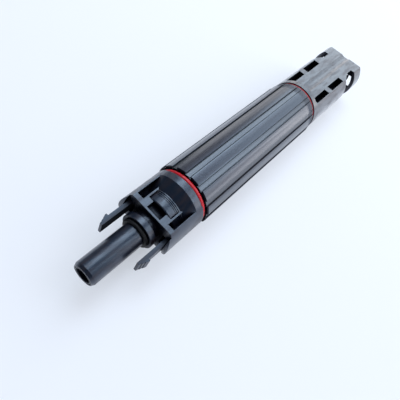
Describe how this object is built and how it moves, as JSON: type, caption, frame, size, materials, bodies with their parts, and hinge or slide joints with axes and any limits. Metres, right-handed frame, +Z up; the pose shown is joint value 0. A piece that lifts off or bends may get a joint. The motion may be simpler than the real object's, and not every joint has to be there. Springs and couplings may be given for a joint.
{
  "type": "in-line solar fuse connector",
  "caption": "In-line solar string connector: a fluted black tube with a cartridge fuse inside, a plug nose with sprung latch arms at one end and a flat-sided socket at the other.",
  "frame": {"origin": "middle of the length, on the axis of the tube", "axes": "+X along the axis to the plug's nose, +Z up through the socket end's flat faces; the plug end is turned 7 degrees about -X on its thread, as in the picture"},
  "size_m": [0.149, 0.022, 0.022],
  "materials": {
    "black_plastic": "satin moulded",
    "red_seal": "smooth silicone",
    "black_rubber": "matt",
    "plated_contact": "tin plated",
    "spring_metal": "bright",
    "clip_steel": "bright",
    "ceramic": "unglazed",
    "cap_metal": "nickel plated",
    "silver_strip": "bare",
    "quartz_sand": "grain"
  },
  "bodies": {
    "sleeve": {"body_tube": "black_plastic"},
    "front_seal": {"front_seal": "red_seal"},
    "plug_end": {"front_housing": "black_plastic", "nose_seal": "black_rubber", "socket_contact": "plated_contact", "socket_contact_spring": "spring_metal", "front_contact_clip": "clip_steel", "front_fuse_clip": "spring_metal"},
    "left_latch": {"left_latch": "black_plastic"},
    "right_latch": {"right_latch": "black_plastic"},
    "rear_seal": {"rear_seal": "red_seal"},
    "socket_end": {"rear_housing": "black_plastic", "pin_contact": "plated_contact", "rear_contact_clip": "clip_steel", "rear_fuse_clip": "spring_metal", "fuse_tube": "ceramic", "front_fuse_cap": "cap_metal", "rear_fuse_cap": "cap_metal", "fuse_element": "silver_strip", "fuse_filler": "quartz_sand"}
  },
  "joints": [
    {"name": "front_travel", "type": "slide", "parent": "sleeve", "child": "front_seal", "axis": [1, 0, 0], "range_m": [0, 0.008]},
    {"name": "front_screw", "type": "hinge", "parent": "front_seal", "child": "plug_end", "pos_m": [0.034, 0, 0], "axis": [1, 0, 0], "range_deg": [0, 1440]},
    {"name": "rear_travel", "type": "slide", "parent": "sleeve", "child": "rear_seal", "axis": [-1, 0, 0], "range_m": [0, 0.008]},
    {"name": "rear_screw", "type": "hinge", "parent": "rear_seal", "child": "socket_end", "pos_m": [-0.0315, 0, 0], "axis": [-1, 0, 0], "range_deg": [0, 1440]},
    {"name": "left_latch_flex", "type": "hinge", "parent": "plug_end", "child": "left_latch", "pos_m": [0.0392, -0.00797, 0.00098], "axis": [0, 0.1219, 0.9925], "range_deg": [0, 4], "stiffness_Nm_per_rad": 0.5},
    {"name": "right_latch_flex", "type": "hinge", "parent": "plug_end", "child": "right_latch", "pos_m": [0.0392, 0.00797, -0.00098], "axis": [0, -0.1219, -0.9925], "range_deg": [0, 4], "stiffness_Nm_per_rad": 0.5}
  ],
  "couplings": [
    {"joint": "front_screw", "follows": "front_travel", "rad_per_m": 3141.6},
    {"joint": "rear_screw", "follows": "rear_travel", "rad_per_m": 3141.6}
  ]
}
